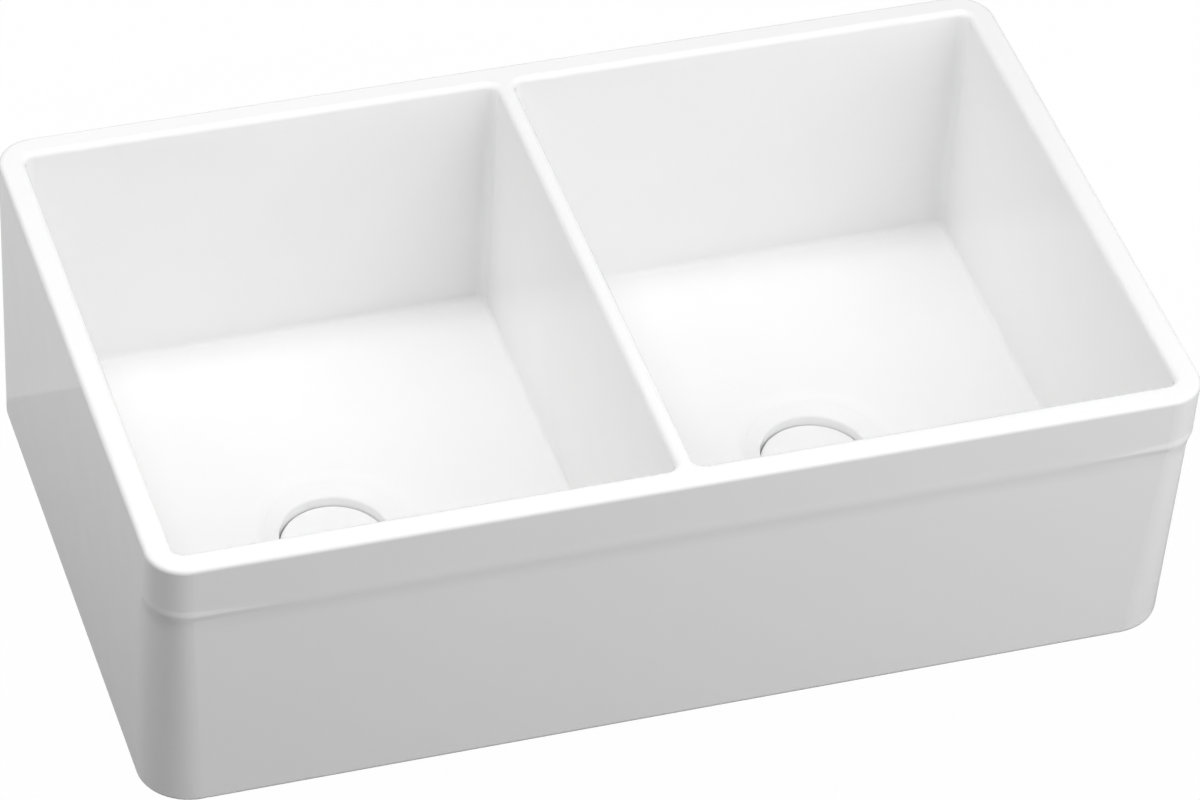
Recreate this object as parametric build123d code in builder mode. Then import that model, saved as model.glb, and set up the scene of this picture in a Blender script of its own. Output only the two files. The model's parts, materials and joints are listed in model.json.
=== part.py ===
from build123d import *
import math
import os

# A glazed fireclay apron-front sink with two equal bowls, and a basket-strainer waste in each bowl.
# Millimetres. X runs along the front, Y from the front to the back, Z up from the flat base.

# Fireclay body
sink_width = 838.0
sink_depth = 522.0
sink_height = 254.0
floor_thickness = 25.0
side_wall = 21.0
front_wall = 21.5
back_wall = 22.0
divider_width = 14.0
rim_corner_radius = 30.5
apron_corner_width = 32.0  # reach along the front of the apron's rounded corners, just below the band
apron_corner_base_width = 42.0  # the same at the base
apron_corner_depth = 40.0  # their reach along the sides
bowl_corner_radius = 9.0
bowl_draft = 1.5  # how far each bowl wall leans in between rim and floor
floor_slope = 0.01  # fall of the bowl floor towards its drain
floor_fillet = 5.0
rim_outer_round = 4.0
rim_inner_round = 5.0
base_round = 5.0
apron_lean = 12.0  # how far the front leans in between rim and base, and likewise the sides and back
side_lean = 0.9
back_lean = 13.0

# Band along the top of the apron: a slight bead, then a step back, both fading out round the corners
band_height = 43.0
band_bead = 1.0
band_step = 0.6
band_curve_height = 24.0
band_curve_sections = 10

# Drain opening in each bowl: a conical dish, its edge blended into the floor, with a hole below it
drain_hole_radius = 46.5
drain_lip_round = 2.0
dish_slope = 0.5
dish_blend = 4.5
recess_depth = 2.5  # hollow of the base round the drain hole
recess_margin = 17.0  # room in the recess round the gasket

# Strainer body
hole_clearance = 0.8
throat_wall = 1.2
flange_lap = 10.1  # how far the flange reaches out over the edge of the drain hole
flange_margin = 7.4  # dish left bare round the flange
flange_clearance = 0.05
flange_thickness = 2.0
flange_edge_round = 0.1
throat_round = 2.5
ledge_drop = 18.4  # from the throat's lip to the basket's ledge
ledge_width = 2.0
cup_depth = 48.0  # from the throat's lip to the cup's floor
cup_floor_thickness = 3.0
cup_outer_round = 8.0
cup_inner_round = 4.0
spigot_bore_radius = 18.5
spigot_wall = 5.0
spigot_length = 20.0

# Seals, ring and locknut
flange_seal_thickness = 1.2
gasket_thickness = 4.0
gasket_width = 11.9
friction_ring_thickness = 1.5
friction_ring_width = 10.9
ring_clearance = 0.4
thread_clearance = 0.15
locknut_height = 12.0
locknut_wall = 7.15
locknut_lugs = 6
locknut_lug_reach = 6.0
locknut_lug_width = 14.0
locknut_corner_round = 2.0
nut_edge_round = 0.8

# Tailpiece and its coupling
tailpiece_radius = 19.05
tailpiece_wall = 1.25
tailpiece_length = 76.0
tailpiece_collar_length = 9.0
tailpiece_collar_step = 0.2
tailpiece_flange_inset = 0.1
tailpiece_flange_thickness = 2.0
outlet_washer_thickness = 2.0
coupling_clearance = 0.25
coupling_lip = 4.0
coupling_grip = 10.0  # thread length of the coupling nut on the spigot
coupling_wall = 5.25
coupling_sides = 8

# Basket
basket_clearance = 0.4
basket_sheet = 1.2
basket_gap = 4.0  # between the basket's wall and the cup
basket_corner_round = 5.0
basket_rim_round = 1.0
basket_slots = 12
basket_slot_width = 4.0
basket_slot_margin = 6.1  # between a slot's ends and the ledge or the basket's underside
basket_hole_radius = 2.5
basket_inner_holes = 8
basket_inner_hole_gap = 6.0  # from the post's collar to the inner circle of holes
basket_outer_holes = 16
basket_outer_hole_gap = 7.5  # from the edge of the basket's flat floor to the outer circle

# Basket post and stopper
post_radius = 4.0
post_clearance = 0.1
post_collar_radius = 7.0
post_collar_height = 2.0
post_foot_height = 2.0
post_grip_radius = 8.0
post_grip_height = 6.0
post_grip_round = 2.0
post_top_gap = 4.0  # between the grip and the drain cap
stopper_lap = 5.5  # how far the stopper covers the cup's floor round the outlet
stopper_taper = 4.0
stopper_thickness = 3.4

# Drain cap and its feet
cap_gap = 0.7  # open ring between the cap and the throat
cap_drop = 8.6  # from the throat's lip to the cap's top
cap_thickness = 2.5
cap_edge_round = 1.0
cap_feet = 3
cap_foot_radius = 2.0
cap_foot_inset = 2.2  # from the cap's edge to a foot's centre

# Sizes that follow
bowl_width = (sink_width - 2 * side_wall - divider_width) / 2
bowl_length = sink_depth - front_wall - back_wall
bowl_x = (divider_width + bowl_width) / 2
bowl_y = (front_wall - back_wall) / 2
drains = {"left": (-bowl_x, bowl_y), "right": (bowl_x, bowl_y)}

floor_z = floor_thickness
bowl_depth = sink_height - floor_z
flange_radius = drain_hole_radius + flange_lap
dish_radius = flange_radius + flange_margin
dish_edge_z = floor_z + floor_slope * dish_radius
seat_drop = flange_thickness + flange_seal_thickness

thread_radius = drain_hole_radius - hole_clearance
throat_radius = thread_radius - throat_wall
cup_radius = throat_radius - ledge_width
lip_z = dish_edge_z - dish_slope * (dish_radius - throat_radius)
ledge_z = lip_z - ledge_drop
cup_floor_z = lip_z - cup_depth
cup_bottom_z = cup_floor_z - cup_floor_thickness
spigot_z = cup_bottom_z - spigot_length
spigot_radius = spigot_bore_radius + spigot_wall

ring_inner = thread_radius + ring_clearance
gasket_radius = ring_inner + gasket_width
friction_ring_radius = ring_inner + friction_ring_width
recess_radius = gasket_radius + recess_margin
locknut_bore_radius = thread_radius + thread_clearance
locknut_radius = locknut_bore_radius + locknut_wall
locknut_lug_radius = locknut_radius + locknut_lug_reach
gasket_z = recess_depth - gasket_thickness
friction_ring_z = gasket_z - friction_ring_thickness
locknut_z = friction_ring_z - locknut_height

tailpiece_flange_radius = spigot_radius - tailpiece_flange_inset
washer_radius = tailpiece_flange_radius
washer_z = spigot_z - outlet_washer_thickness
tailpiece_flange_z = washer_z - tailpiece_flange_thickness
tailpiece_bore_radius = tailpiece_radius - tailpiece_wall
collar_radius = tailpiece_radius + tailpiece_collar_step
coupling_bore_radius = spigot_radius + coupling_clearance
coupling_radius = coupling_bore_radius + coupling_wall

basket_rim_radius = throat_radius - basket_clearance
basket_rim_z = ledge_z + basket_sheet
basket_radius = cup_radius - basket_gap
basket_z = cup_floor_z + stopper_thickness
basket_inner_radius = basket_radius - basket_sheet
basket_inner_round = basket_corner_round - basket_sheet
basket_inner_hole_circle = post_collar_radius + basket_inner_hole_gap
basket_outer_hole_circle = basket_inner_radius - basket_inner_round - basket_outer_hole_gap
stopper_radius = spigot_bore_radius + stopper_lap
cap_radius = throat_radius - cap_gap
cap_top = lip_z - cap_drop
cap_z = cap_top - cap_thickness


def save(piece, name):
    """Labels a finished piece and writes it as the node of that name."""
    piece.part.label = name
    export_step(piece.part, f"parts/{name}.step")


def upright(centre):
    """The radial plane of a drain: local x is the radius, local y the height above the base."""
    return Plane(origin=(*centre, 0), x_dir=(1, 0, 0), z_dir=(0, -1, 0))


def level(centre, height):
    """The level plane of a drain at a height above the base."""
    return Plane(origin=(*centre, height))


def drain_axis(centre):
    return Axis((*centre, 0), (0, 0, 1))


def lean_in(lean, height):
    """How far a wall that leans in by so much at the base has come in at a height."""
    return lean * (sink_height - height) / sink_height


def bowl_lean(height):
    """How far each bowl wall has come in at a height."""
    return bowl_draft * (sink_height - height) / bowl_depth


def on_dish(radius, drop=0.0):
    """A profile point on the dish's cone, or on a cone that far below it."""
    return (radius, dish_edge_z - dish_slope * (dish_radius - radius) - drop)


def bowl_space(centre):
    """The hollow of a bowl: leaning walls, and a floor that falls to the dish and the hole of its drain."""
    reach = math.hypot(bowl_width, bowl_length)
    rebate_radius = flange_radius + flange_clearance
    cone_run = dish_blend / math.hypot(1, dish_slope)
    floor_run = dish_blend / math.hypot(1, floor_slope)
    blend_low = on_dish(dish_radius - cone_run)
    blend_high = (dish_radius + floor_run, dish_edge_z + floor_slope * floor_run)
    seat_edge = on_dish(drain_hole_radius, seat_drop)
    with BuildPart() as space:
        for height in (recess_depth, sink_height):
            width = bowl_width - 2 * bowl_lean(height)
            length = bowl_length - 2 * bowl_lean(height)
            with BuildSketch(level(centre, height)):
                RectangleRounded(width, length, bowl_corner_radius)
        loft(ruled=True)
        # The fireclay under the bowl, with the rebate that takes the strainer's flange
        with BuildSketch(upright(centre)) as profile:
            with BuildLine():
                Polyline(
                    blend_high,
                    (reach, floor_z + floor_slope * reach),
                    (reach, 0),
                    (drain_hole_radius, 0),
                    seat_edge,
                    on_dish(rebate_radius, seat_drop),
                    on_dish(rebate_radius),
                    blend_low,
                )
                TangentArc(blend_low, blend_high, tangent=(1, dish_slope))
            make_face()
            fillet(profile.vertices().sort_by_distance(seat_edge)[0], drain_lip_round)
        revolve(axis=drain_axis(centre), mode=Mode.SUBTRACT)
        floor = space.faces().filter_by(GeomType.CONE).sort_by(SortBy.AREA)[-1]
        fillet(floor.outer_wire().edges(), floor_fillet)
    return space.part


def band_section(rise):
    """A section of the curve below the band, from its foot at rise 0 to the band at rise 1."""
    share = (1 + math.cos(math.pi * rise)) / 2
    bead = band_bead * math.sin(2 * math.pi * max(rise, 0.5)) ** 2
    height = sink_height - band_height - band_curve_height * (1 - rise)
    corner_width = rim_corner_radius + (apron_corner_width - rim_corner_radius) * share
    corner_depth = rim_corner_radius + (apron_corner_depth - rim_corner_radius) * share
    return (height, band_step * share - bead, corner_width, corner_depth)


def make_fireclay_body():
    bowls = [bowl_space(centre) for centre in drains.values()]
    # Each section: its height, how far the front steps back there, and the reach of the front corners
    curve = [band_section(section / band_curve_sections) for section in range(band_curve_sections + 1)]
    apron = [(0, band_step, apron_corner_base_width, apron_corner_depth), curve[0]]
    band = [curve[-1], (sink_height, 0, rim_corner_radius, rim_corner_radius)]
    with BuildPart() as body:
        for stage in (apron, curve, band):
            for height, step, corner_width, corner_depth in stage:
                right = sink_width / 2 - lean_in(side_lean, height)
                front = step + lean_in(apron_lean, height) - sink_depth / 2
                back = sink_depth / 2 - lean_in(back_lean, height)
                front_x = right - corner_width
                front_y = front + corner_depth
                back_x = right - rim_corner_radius
                back_y = back - rim_corner_radius
                with BuildSketch(Plane.XY.offset(height)):
                    with BuildLine():
                        Line((-front_x, front), (front_x, front))
                        EllipticalCenterArc((front_x, front_y), corner_width, corner_depth, 270, arc_size=90)
                        Line((right, front_y), (right, back_y))
                        CenterArc((back_x, back_y), rim_corner_radius, 0, 90)
                        Line((back_x, back), (-back_x, back))
                        CenterArc((-back_x, back_y), rim_corner_radius, 90, 90)
                        Line((-right, back_y), (-right, front_y))
                        EllipticalCenterArc((-front_x, front_y), corner_width, corner_depth, 180, arc_size=90)
                    make_face()
            loft(ruled=stage is not curve)
        fillet(body.faces().sort_by(Axis.Z)[0].edges(), base_round)
        for bowl in bowls:
            add(bowl, mode=Mode.SUBTRACT)
        rim = body.faces().sort_by(Axis.Z)[-1]
        fillet(rim.outer_wire().edges(), rim_outer_round)
        rim = body.faces().sort_by(Axis.Z)[-1]
        fillet([edge for wire in rim.inner_wires() for edge in wire.edges()], rim_inner_round)
        # Recess under each drain, where the waste is clamped
        with BuildSketch():
            with Locations(*drains.values()):
                Circle(recess_radius)
        extrude(amount=recess_depth, mode=Mode.SUBTRACT)
    save(body, "fireclay_body")


def make_ring(name, centre, inner_radius, outer_radius, low, high):
    """A flat ring round a drain's axis."""
    with BuildPart() as ring:
        with BuildSketch(level(centre, low)):
            Circle(outer_radius)
            Circle(inner_radius, mode=Mode.SUBTRACT)
        extrude(amount=high - low)
    save(ring, name)


def make_flange_seal(name, centre):
    seal_inner = drain_hole_radius + drain_lip_round
    with BuildPart() as seal:
        with BuildSketch(upright(centre)):
            with BuildLine():
                Polyline(
                    on_dish(seal_inner, seat_drop),
                    on_dish(flange_radius, seat_drop),
                    on_dish(flange_radius, flange_thickness),
                    on_dish(seal_inner, flange_thickness),
                    close=True,
                )
            make_face()
        revolve(axis=drain_axis(centre))
    save(seal, name)


def make_strainer_body(name, centre):
    flange_edge = on_dish(flange_radius)
    lip = on_dish(throat_radius)
    with BuildPart() as strainer_body:
        with BuildSketch(upright(centre)) as profile:
            with BuildLine():
                Polyline(
                    (spigot_bore_radius, spigot_z),
                    (spigot_radius, spigot_z),
                    (spigot_radius, cup_bottom_z),
                    (thread_radius, cup_bottom_z),
                    on_dish(thread_radius, flange_thickness),
                    on_dish(flange_radius, flange_thickness),
                    flange_edge,
                    lip,
                    (throat_radius, ledge_z),
                    (cup_radius, ledge_z),
                    (cup_radius, cup_floor_z),
                    (spigot_bore_radius, cup_floor_z),
                    close=True,
                )
            make_face()
            for corner, radius in (
                ((thread_radius, cup_bottom_z), cup_outer_round),
                (flange_edge, flange_edge_round),
                (lip, throat_round),
                ((cup_radius, cup_floor_z), cup_inner_round),
            ):
                fillet(profile.vertices().sort_by_distance(corner)[0], radius)
        revolve(axis=drain_axis(centre))
    save(strainer_body, name)


def make_locknut(name, centre):
    lug_length = locknut_lug_radius - thread_radius
    lug_middle = (locknut_lug_radius + thread_radius) / 2
    with BuildPart() as locknut:
        with BuildSketch(level(centre, locknut_z)) as plan:
            Circle(locknut_radius)
            with PolarLocations(lug_middle, locknut_lugs):
                Rectangle(lug_length, locknut_lug_width)
            fillet(plan.vertices(), locknut_corner_round)
            Circle(locknut_bore_radius, mode=Mode.SUBTRACT)
        extrude(amount=locknut_height)
        ends = locknut.faces().filter_by(Axis.Z)
        fillet([edge for end in ends for edge in end.outer_wire().edges()], nut_edge_round)
    save(locknut, name)


def make_tailpiece(name, centre):
    collar_z = tailpiece_flange_z - tailpiece_collar_length
    with BuildPart() as tailpiece:
        with BuildSketch(upright(centre)):
            with BuildLine():
                Polyline(
                    (tailpiece_bore_radius, washer_z - tailpiece_length),
                    (tailpiece_radius, washer_z - tailpiece_length),
                    (tailpiece_radius, collar_z),
                    (collar_radius, collar_z),
                    (collar_radius, tailpiece_flange_z),
                    (tailpiece_flange_radius, tailpiece_flange_z),
                    (tailpiece_flange_radius, washer_z),
                    (tailpiece_bore_radius, washer_z),
                    close=True,
                )
            make_face()
        revolve(axis=drain_axis(centre))
    save(tailpiece, name)


def make_coupling_nut(name, centre):
    low = tailpiece_flange_z - coupling_lip
    high = spigot_z + coupling_grip
    with BuildPart() as coupling_nut:
        with BuildSketch(level(centre, low)):
            RegularPolygon(coupling_radius, coupling_sides)
            Circle(collar_radius + coupling_clearance, mode=Mode.SUBTRACT)
        extrude(amount=high - low)
        with BuildSketch(level(centre, tailpiece_flange_z)):
            Circle(coupling_bore_radius)
        extrude(amount=high - tailpiece_flange_z, mode=Mode.SUBTRACT)
        ends = coupling_nut.faces().filter_by(Axis.Z)
        rims = [ends.sort_by(Axis.Z)[0], ends.sort_by(Axis.Z)[-1]]
        fillet([edge for end in rims for edge in end.outer_wire().edges()], nut_edge_round)
    save(coupling_nut, name)


def make_basket(name, centre):
    slot_z = (basket_z + ledge_z) / 2
    slot_height = ledge_z - basket_z - 2 * basket_slot_margin
    with BuildPart() as basket:
        with BuildSketch(upright(centre)) as profile:
            with BuildLine():
                Polyline(
                    (post_radius + post_clearance, basket_z),
                    (basket_radius, basket_z),
                    (basket_radius, ledge_z),
                    (basket_rim_radius, ledge_z),
                    (basket_rim_radius, basket_rim_z),
                    (basket_inner_radius, basket_rim_z),
                    (basket_inner_radius, basket_z + basket_sheet),
                    (post_radius + post_clearance, basket_z + basket_sheet),
                    close=True,
                )
            make_face()
            for corner, radius in (
                ((basket_radius, basket_z), basket_corner_round),
                ((basket_inner_radius, basket_z + basket_sheet), basket_inner_round),
                ((basket_inner_radius, basket_rim_z), basket_rim_round),
            ):
                fillet(profile.vertices().sort_by_distance(corner)[0], radius)
        revolve(axis=drain_axis(centre))
        for slot in range(basket_slots):
            turn = 2 * math.pi * slot / basket_slots
            outward = (math.cos(turn), math.sin(turn), 0)
            with BuildSketch(Plane(origin=(*centre, slot_z), x_dir=(0, 0, 1), z_dir=outward)):
                SlotOverall(slot_height, basket_slot_width)
        extrude(amount=cup_radius, mode=Mode.SUBTRACT)
        with BuildSketch(level(centre, basket_z)):
            with PolarLocations(basket_inner_hole_circle, basket_inner_holes):
                Circle(basket_hole_radius)
            with PolarLocations(basket_outer_hole_circle, basket_outer_holes):
                Circle(basket_hole_radius)
        extrude(amount=basket_sheet, mode=Mode.SUBTRACT)
    save(basket, name)


def make_basket_post(name, centre):
    foot_z = cup_floor_z - post_foot_height
    collar_low = basket_z + basket_sheet
    grip_top = cap_z - post_top_gap
    grip_low = grip_top - post_grip_height
    with BuildPart() as post:
        with BuildSketch(upright(centre)) as profile:
            with BuildLine():
                Polyline(
                    (0, foot_z),
                    (post_collar_radius, foot_z),
                    (post_collar_radius, cup_floor_z),
                    (post_radius, cup_floor_z),
                    (post_radius, collar_low),
                    (post_collar_radius, collar_low),
                    (post_collar_radius, collar_low + post_collar_height),
                    (post_radius, collar_low + post_collar_height),
                    (post_radius, grip_low),
                    (post_grip_radius, grip_low),
                    (post_grip_radius, grip_top),
                    (0, grip_top),
                    close=True,
                )
            make_face()
            fillet(profile.vertices().sort_by_distance((post_grip_radius, grip_top))[0], post_grip_round)
        revolve(axis=drain_axis(centre))
    save(post, name)


def make_basket_stopper(name, centre):
    hole_radius = post_radius + post_clearance
    with BuildPart() as stopper:
        with BuildSketch(upright(centre)):
            with BuildLine():
                Polyline(
                    (hole_radius, cup_floor_z),
                    (stopper_radius, cup_floor_z),
                    (stopper_radius - stopper_taper, basket_z),
                    (hole_radius, basket_z),
                    close=True,
                )
            make_face()
        revolve(axis=drain_axis(centre))
    save(stopper, name)


def make_drain_cap(name, centre):
    with BuildPart() as cap:
        with BuildSketch(level(centre, cap_z)):
            Circle(cap_radius)
        extrude(amount=cap_thickness)
        fillet(cap.edges().sort_by(Axis.Z)[-1], cap_edge_round)
    save(cap, name)


def make_cap_feet(name, centre):
    with BuildPart() as feet:
        with BuildSketch(level(centre, basket_rim_z)):
            with PolarLocations(cap_radius - cap_foot_inset, cap_feet):
                Circle(cap_foot_radius)
        extrude(amount=cap_z - basket_rim_z)
    save(feet, name)


os.makedirs("parts", exist_ok=True)
make_fireclay_body()
for side, centre in drains.items():
    make_strainer_body(f"{side}_strainer_body", centre)
    make_flange_seal(f"{side}_flange_seal", centre)
    make_ring(f"{side}_under_gasket", centre, ring_inner, gasket_radius, gasket_z, recess_depth)
    make_ring(f"{side}_friction_ring", centre, ring_inner, friction_ring_radius, friction_ring_z, gasket_z)
    make_locknut(f"{side}_locknut", centre)
    make_ring(f"{side}_outlet_washer", centre, spigot_bore_radius, washer_radius, washer_z, spigot_z)
    make_tailpiece(f"{side}_tailpiece", centre)
    make_coupling_nut(f"{side}_coupling_nut", centre)
    make_basket(f"{side}_basket", centre)
    make_basket_post(f"{side}_basket_post", centre)
    make_basket_stopper(f"{side}_basket_stopper", centre)
    make_drain_cap(f"{side}_drain_cap", centre)
    make_cap_feet(f"{side}_cap_feet", centre)
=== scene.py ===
import json
import math

import bmesh
import bpy
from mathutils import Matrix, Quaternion, Vector


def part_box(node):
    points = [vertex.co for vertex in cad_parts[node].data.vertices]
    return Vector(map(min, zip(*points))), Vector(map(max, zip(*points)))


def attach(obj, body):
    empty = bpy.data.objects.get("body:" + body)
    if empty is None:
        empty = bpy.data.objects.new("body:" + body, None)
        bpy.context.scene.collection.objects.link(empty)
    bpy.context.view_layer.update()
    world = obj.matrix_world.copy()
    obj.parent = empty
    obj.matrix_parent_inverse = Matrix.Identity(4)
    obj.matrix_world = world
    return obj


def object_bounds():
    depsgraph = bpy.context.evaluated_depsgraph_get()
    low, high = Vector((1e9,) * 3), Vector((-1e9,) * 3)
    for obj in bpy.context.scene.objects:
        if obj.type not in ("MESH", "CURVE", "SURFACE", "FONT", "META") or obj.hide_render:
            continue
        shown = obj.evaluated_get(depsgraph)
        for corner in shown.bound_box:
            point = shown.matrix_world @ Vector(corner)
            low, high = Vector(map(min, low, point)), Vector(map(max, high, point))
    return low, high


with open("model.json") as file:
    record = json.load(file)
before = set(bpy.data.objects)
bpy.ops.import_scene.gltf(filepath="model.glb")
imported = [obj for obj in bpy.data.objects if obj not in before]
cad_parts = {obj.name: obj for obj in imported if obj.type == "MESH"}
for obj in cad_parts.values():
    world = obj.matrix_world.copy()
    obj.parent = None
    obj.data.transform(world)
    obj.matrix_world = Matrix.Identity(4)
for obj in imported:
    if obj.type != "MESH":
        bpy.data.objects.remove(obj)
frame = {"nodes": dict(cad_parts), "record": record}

# A white glazed fireclay sink with two bowls, seen from above its front left corner. Metres.
cad_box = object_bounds()
body_low, body_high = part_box("fireclay_body")

# Camera, at the photograph's viewing angle
aim = Vector((-0.0005, -0.0397, 0.150))
camera_distance = 4.9527
camera_azimuth = math.radians(19.98)
camera_elevation = math.radians(41.22)
camera_roll = math.radians(3.96)
lens_mm = 188.8
sensor_mm = 36.0

# Threads on each strainer body, on its cup below the locknut and on its spigot above the coupling nut
cup_thread_radius = 0.0457
cup_thread_length = 0.0115
spigot_thread_radius = 0.0235
spigot_thread_length = 0.0095
thread_pitch = 0.0022
thread_height = 0.0007
thread_root_width = 0.0017
thread_crest_width = 0.0003
thread_sunk = 0.0001  # how far the ridge's root lies inside the cylinder
thread_steps = 96  # in each turn
thread_runout_steps = 24  # over which the ridge sinks into the cylinder at each end
thread_end_height = 0.1  # share of the ridge's height left at its very end, inside the cylinder

# Floor, at the ends of the tailpieces, and a backdrop that carries it on behind the sink
floor_size = 60.0
floor_back = 0.387  # where the backdrop begins
# The floor's colour carries a painted shadow that deepens from the backdrop's edge toward the front
painted_shadow_front = -0.15  # where the painted shadow on the floor is deepest
painted_shadow_white = 0.62  # the floor's whiteness there, darkened by painted shadow, as it shows in reflections
unshaded_floor_white = 0.98  # the floor's whiteness with no painted shadow, at the backdrop and behind it
floor_white = 0.985  # how much of the floor's look is plain white, the rest takes the shadow
floor_grey = 0.18  # what the floor throws back onto the sink
floor_white_in_gloss = 0.0  # how much of the floor's look in a reflection is plain white
backdrop_white_in_gloss = 0.45  # the same for the backdrop

# Lights
ambient = 0.3
lamps = {
    # name: (place, width, height, watts)
    "overhead_left_softbox": ((-0.9, 0.2, 2.9), 0.9, 0.9, 26.5),
    "top_front_softbox": ((0.8, -1.9, 2.4), 2.4, 1.6, 37.5),
    "left_softbox": ((-2.0, 0.2, 1.9), 1.8, 1.8, 12.4),
    "front_right_softbox": ((1.9, -1.7, 0.9), 1.4, 1.6, 17.7),
}


# The colour sockets of a mix node
mix_first = 6
mix_second = 7
mix_result = 2


class Look:
    """A material's node tree, with the few kinds of node that the finishes are made of."""

    def __init__(self, name):
        self.material = bpy.data.materials.new(name)
        self.material.use_nodes = True
        self.tree = self.material.node_tree
        self.shader = self.tree.nodes["Principled BSDF"]
        self.place = self.add("ShaderNodeTexCoord").outputs["Object"]

    def add(self, kind, **values):
        node = self.tree.nodes.new(kind)
        for name, value in values.items():
            setattr(node, name, value)
        return node

    def join(self, value, socket):
        """Links an output to a socket, or sets the socket to a plain value."""
        if isinstance(value, bpy.types.NodeSocket):
            self.tree.links.new(value, socket)
        else:
            socket.default_value = value

    def set(self, **values):
        """Sets the shader's sockets, named in lower case with underscores."""
        for name, value in values.items():
            self.join(value, self.shader.inputs[name.replace("_", " ").title()])

    def noise(self, size, detail=2.0):
        """Noise from 0 to 1 whose blobs are about size metres across."""
        node = self.add("ShaderNodeTexNoise")
        self.join(self.place, node.inputs["Vector"])
        node.inputs["Scale"].default_value = 1.0 / size
        node.inputs["Detail"].default_value = detail
        return node.outputs["Fac"]

    def spread(self, value, low, high, from_low=0.0, from_high=1.0):
        """Maps a value from one range to another, and holds it there."""
        node = self.add("ShaderNodeMapRange")
        self.join(value, node.inputs["Value"])
        node.inputs["From Min"].default_value = from_low
        node.inputs["From Max"].default_value = from_high
        node.inputs["To Min"].default_value = low
        node.inputs["To Max"].default_value = high
        return node.outputs["Result"]

    def maths(self, operation, first, second):
        node = self.add("ShaderNodeMath", operation=operation)
        self.join(first, node.inputs[0])
        self.join(second, node.inputs[1])
        return node.outputs["Value"]

    def blend(self, factor, first, second):
        """A colour between two colours."""
        node = self.add("ShaderNodeMix", data_type="RGBA")
        self.join(factor, node.inputs["Factor"])
        self.join(first, node.inputs[mix_first])
        self.join(second, node.inputs[mix_second])
        return node.outputs[mix_result]

    def bump(self, height, depth, normal=None):
        """A bump whose full height is depth metres, on top of another bump if one is given."""
        node = self.add("ShaderNodeBump")
        self.join(height, node.inputs["Height"])
        node.inputs["Distance"].default_value = depth
        if normal:
            self.join(normal, node.inputs["Normal"])
        return node.outputs["Normal"]


def rgb(red, green, blue):
    return (red, green, blue, 1.0)


def grey(level):
    return rgb(level, level, level)


def glazed_fireclay():
    """White glaze with a faint waviness, and bare clay on the faces that look down."""
    look = Look("glazed_fireclay")
    tint = look.noise(0.12)
    glaze = look.blend(tint, grey(0.925), grey(0.945))
    grain = look.noise(0.002, detail=6.0)
    clay = look.blend(grain, rgb(0.62, 0.57, 0.50), rgb(0.74, 0.69, 0.62))
    facing = look.add("ShaderNodeSeparateXYZ")
    look.join(look.add("ShaderNodeNewGeometry").outputs["Normal"], facing.inputs["Vector"])
    bare = look.spread(facing.outputs["Z"], 1.0, 0.0, from_low=-0.9, from_high=-0.8)
    gloss = look.spread(look.noise(0.03), 0.045, 0.08)
    wave = look.bump(look.noise(0.07, detail=1.0), 0.0003)
    peel = look.bump(look.noise(0.004, detail=1.0), 0.000004, wave)
    look.set(
        base_color=look.blend(bare, glaze, clay),
        roughness=look.maths("MAXIMUM", gloss, look.spread(bare, 0.0, 0.85)),
        normal=peel,
    )
    return look.material


def white_enamel():
    """Glossy white enamel with a faint mottle."""
    look = Look("white_enamel")
    tint = look.noise(0.05)
    look.set(
        base_color=look.blend(tint, grey(0.925), grey(0.945)),
        roughness=look.spread(look.noise(0.02), 0.08, 0.14),
        normal=look.bump(look.noise(0.003, detail=1.0), 0.000008),
    )
    return look.material


def soft_solid(name, dark, light, roughness, grain_size, grain_depth):
    """Rubber, foam, fibre or plastic: a mottled colour with a fine grain."""
    look = Look(name)
    grain = look.noise(grain_size, detail=5.0)
    look.set(
        base_color=look.blend(grain, dark, light),
        roughness=look.spread(look.noise(grain_size * 8), *roughness),
        normal=look.bump(grain, grain_depth),
    )
    return look.material


def bare_metal(name, dark, light, roughness, grain_size, grain_depth):
    """Metal with a mottled sheen and a fine grain."""
    look = Look(name)
    grain = look.noise(grain_size, detail=4.0)
    look.set(
        base_color=look.blend(look.noise(grain_size * 6), dark, light),
        roughness=look.spread(grain, *roughness),
        metallic=1.0,
        normal=look.bump(grain, grain_depth),
    )
    return look.material


soft_finishes = {
    "sealing_foam": {
        "dark": rgb(0.42, 0.42, 0.40),
        "light": rgb(0.58, 0.58, 0.55),
        "roughness": (0.7, 0.9),
        "grain_size": 0.0012,
        "grain_depth": 0.0002,
    },
    "black_rubber": {
        "dark": rgb(0.012, 0.012, 0.012),
        "light": rgb(0.030, 0.030, 0.031),
        "roughness": (0.45, 0.7),
        "grain_size": 0.0015,
        "grain_depth": 0.00006,
    },
    "fibre": {
        "dark": rgb(0.20, 0.12, 0.06),
        "light": rgb(0.36, 0.24, 0.13),
        "roughness": (0.7, 0.9),
        "grain_size": 0.0008,
        "grain_depth": 0.0001,
    },
    "white_plastic": {
        "dark": rgb(0.72, 0.72, 0.69),
        "light": rgb(0.80, 0.80, 0.78),
        "roughness": (0.3, 0.45),
        "grain_size": 0.002,
        "grain_depth": 0.00002,
    },
}

metal_finishes = {
    "zinc": {
        "dark": rgb(0.40, 0.41, 0.43),
        "light": rgb(0.56, 0.57, 0.58),
        "roughness": (0.30, 0.52),
        "grain_size": 0.003,
        "grain_depth": 0.00008,
    },
    "chrome": {
        "dark": rgb(0.72, 0.73, 0.75),
        "light": rgb(0.78, 0.79, 0.80),
        "roughness": (0.05, 0.10),
        "grain_size": 0.006,
        "grain_depth": 0.000004,
    },
    "stainless_steel": {
        "dark": rgb(0.55, 0.56, 0.57),
        "light": rgb(0.64, 0.65, 0.65),
        "roughness": (0.16, 0.30),
        "grain_size": 0.0015,
        "grain_depth": 0.00002,
    },
}


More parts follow.
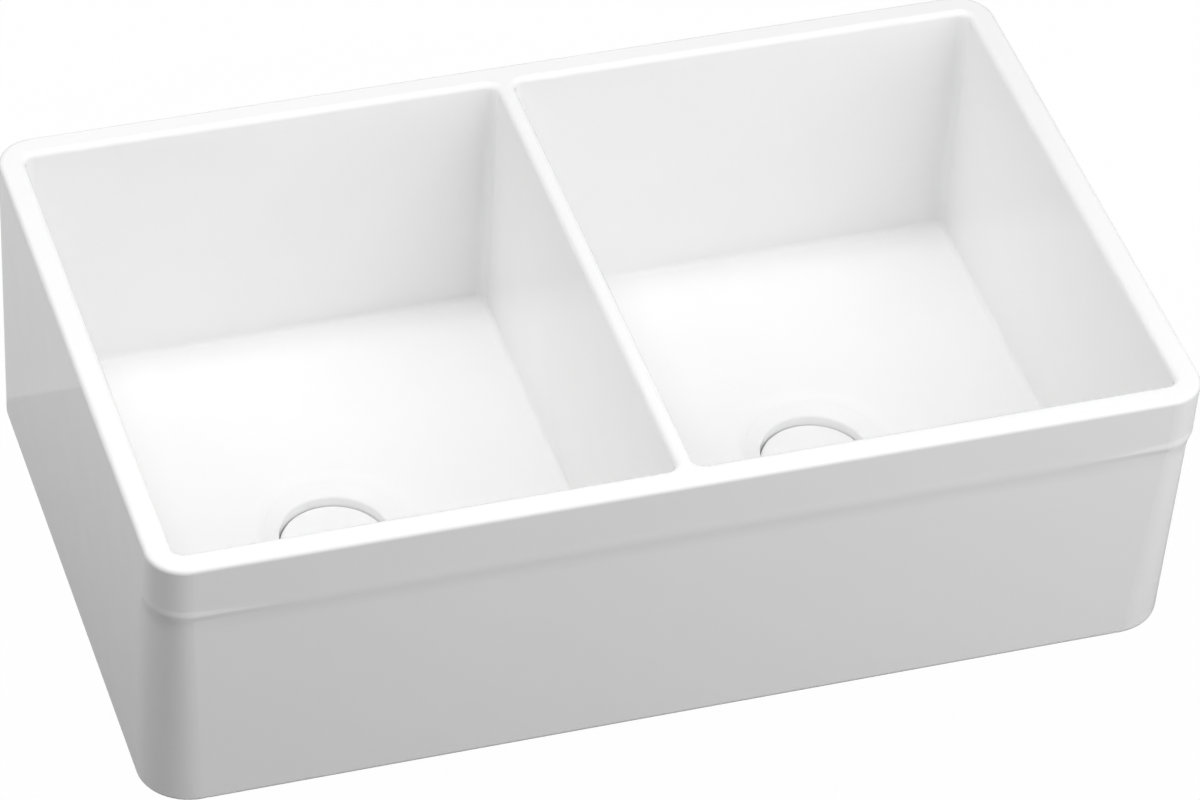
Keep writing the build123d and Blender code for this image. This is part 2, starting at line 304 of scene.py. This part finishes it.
def make_finishes():
    """One material for each slot of the record, by the slot's name."""
    finishes = {"glazed_fireclay": glazed_fireclay(), "white_enamel": white_enamel()}
    for name, values in soft_finishes.items():
        finishes[name] = soft_solid(name, **values)
    for name, values in metal_finishes.items():
        finishes[name] = bare_metal(name, **values)
    return finishes


def dress_nodes(finishes):
    for subpart in frame["record"]["subparts"]:
        node = frame["nodes"][subpart["node"]]
        node.data.materials.clear()
        node.data.materials.append(finishes[subpart["material_slot"]])


def ridge_section(centre, radius, height, turn, rise):
    """The four corners of a thread's section at a height and a turn, standing out by a share of its depth."""
    root = radius - thread_sunk
    crest = root + (thread_sunk + thread_height) * rise
    corners = []
    for reach, offset in (
        (root, -thread_root_width / 2),
        (crest, -thread_crest_width / 2),
        (crest, thread_crest_width / 2),
        (root, thread_root_width / 2),
    ):
        across = centre.x + reach * math.cos(turn)
        along = centre.y + reach * math.sin(turn)
        corners.append((across, along, height + offset))
    return corners


def ridge_sections(centre, radius, low, high):
    """The sections of a ridge that winds up a cylinder between two heights."""
    steps = int((high - low - thread_root_width) / thread_pitch * thread_steps)
    sections = []
    for step in range(steps + 1):
        rise = min(1.0, step / thread_runout_steps, (steps - step) / thread_runout_steps)
        height = low + thread_root_width / 2 + thread_pitch * step / thread_steps
        turn = 2 * math.pi * step / thread_steps
        sections.append(ridge_section(centre, radius, height, turn, max(rise, thread_end_height)))
    return sections


def skinned(name, sections):
    """A closed mesh through a row of sections with the same number of corners."""
    skin = bmesh.new()
    rings = [[skin.verts.new(corner) for corner in section] for section in sections]
    for below, above in zip(rings, rings[1:]):
        for corner in range(len(below)):
            after = (corner + 1) % len(below)
            skin.faces.new((below[corner], below[after], above[after], above[corner]))
    skin.faces.new(rings[0])
    skin.faces.new(rings[-1])
    bmesh.ops.recalc_face_normals(skin, faces=skin.faces)
    mesh = bpy.data.meshes.new(name)
    skin.to_mesh(mesh)
    skin.free()
    return mesh


def make_thread(name, centre, radius, low, high, finish):
    mesh = skinned(name, ridge_sections(centre, radius, low, high))
    mesh.materials.append(finish)
    piece = bpy.data.objects.new(name, mesh)
    bpy.context.scene.collection.objects.link(piece)
    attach(piece, "sink")


def make_threads(finish):
    for side in ("left", "right"):
        low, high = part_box(f"{side}_strainer_body")
        centre = (low + high) / 2
        cup_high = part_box(f"{side}_locknut")[0].z
        spigot_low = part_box(f"{side}_coupling_nut")[1].z
        cup_low = cup_high - cup_thread_length
        spigot_high = spigot_low + spigot_thread_length
        make_thread(f"{side}_cup_thread", centre, cup_thread_radius, cup_low, cup_high, finish)
        make_thread(f"{side}_spigot_thread", centre, spigot_thread_radius, spigot_low, spigot_high, finish)


def seen_rays(tree, in_gloss=1.0):
    """1 for the rays that show the surroundings to the camera or through glass, in_gloss for reflections."""
    path = tree.nodes.new("ShaderNodeLightPath")
    dimmed = tree.nodes.new("ShaderNodeMath")
    dimmed.operation = "MULTIPLY"
    tree.links.new(path.outputs["Is Glossy Ray"], dimmed.inputs[0])
    dimmed.inputs[1].default_value = in_gloss
    seen = path.outputs["Is Camera Ray"]
    for other in (path.outputs["Is Transmission Ray"], dimmed.outputs["Value"]):
        either = tree.nodes.new("ShaderNodeMath")
        either.operation = "MAXIMUM"
        tree.links.new(seen, either.inputs[0])
        tree.links.new(other, either.inputs[1])
        seen = either.outputs["Value"]
    return seen


def floor_material(name, white_in_gloss):
    """A matt floor that looks white, with the shadow kept, and throws back less light than a white one; as
    the camera and reflections see it, its colour carries a painted shadow that darkens toward the front.
    """
    look = Look(name)
    place = look.add("ShaderNodeSeparateXYZ")
    look.join(look.add("ShaderNodeNewGeometry").outputs["Position"], place.inputs["Vector"])
    depth = place.outputs["Y"]
    # painted shadow: the floor's whiteness falls from the backdrop's edge toward the front
    painted_shade = look.spread(depth, painted_shadow_white, unshaded_floor_white, from_low=painted_shadow_front, from_high=floor_back)
    look.set(base_color=look.blend(seen_rays(look.tree), grey(floor_grey), painted_shade), roughness=1.0)
    white = look.add("ShaderNodeEmission")
    mix = look.add("ShaderNodeMixShader")
    seen = seen_rays(look.tree, white_in_gloss / floor_white)
    look.join(look.maths("MULTIPLY", seen, floor_white), mix.inputs["Fac"])
    look.join(look.shader.outputs["BSDF"], mix.inputs[1])
    look.join(white.outputs["Emission"], mix.inputs[2])
    look.join(mix.outputs["Shader"], look.tree.nodes["Material Output"].inputs["Surface"])
    return look.material


def make_floor():
    """The floor in front of its back edge, and the backdrop behind it."""
    level = cad_box[0][2]
    for name, side, white_in_gloss in (
        ("floor", -1, floor_white_in_gloss),
        ("backdrop", 1, backdrop_white_in_gloss),
    ):
        middle = (0.0, floor_back + side * floor_size / 2, level)
        bpy.ops.mesh.primitive_plane_add(size=floor_size, location=middle)
        plane = bpy.context.object
        plane.name = name
        plane.data.materials.append(floor_material(name, white_in_gloss))


def make_world():
    world = bpy.data.worlds.new("studio")
    world.use_nodes = True
    nodes = world.node_tree.nodes
    links = world.node_tree.links
    strength = nodes.new("ShaderNodeMapRange")
    strength.inputs["To Min"].default_value = ambient
    strength.inputs["To Max"].default_value = 1.0
    links.new(seen_rays(world.node_tree), strength.inputs["Value"])
    background = nodes["Background"]
    background.inputs["Color"].default_value = rgb(1.0, 1.0, 1.0)
    links.new(strength.outputs["Result"], background.inputs["Strength"])
    bpy.context.scene.world = world


def make_lamps():
    centre = (body_low + body_high) / 2
    for name, (place, width, height, watts) in lamps.items():
        light = bpy.data.lights.new(name, "AREA")
        light.shape = "RECTANGLE"
        light.size = width
        light.size_y = height
        light.energy = watts
        lamp = bpy.data.objects.new(name, light)
        lamp.location = place
        lamp.rotation_euler = (centre - lamp.location).to_track_quat("-Z", "Y").to_euler()
        lamp.visible_glossy = False  # the glaze mirrors the white surroundings and not the lamps
        bpy.context.scene.collection.objects.link(lamp)


def make_camera():
    level = math.cos(camera_elevation)
    forward = Vector(
        (level * math.sin(camera_azimuth), level * math.cos(camera_azimuth), -math.sin(camera_elevation))
    )
    data = bpy.data.cameras.new("camera")
    data.lens = lens_mm
    data.sensor_width = sensor_mm
    camera = bpy.data.objects.new("camera", data)
    camera.location = aim - camera_distance * forward
    camera.rotation_mode = "QUATERNION"
    roll = Quaternion((0.0, 0.0, 1.0), camera_roll)
    camera.rotation_quaternion = forward.to_track_quat("-Z", "Y") @ roll
    bpy.context.scene.collection.objects.link(camera)
    bpy.context.scene.camera = camera


finishes = make_finishes()
dress_nodes(finishes)
make_threads(finishes["white_enamel"])
make_floor()
make_world()
make_lamps()
make_camera()
bpy.context.scene.view_settings.view_transform = "Standard"
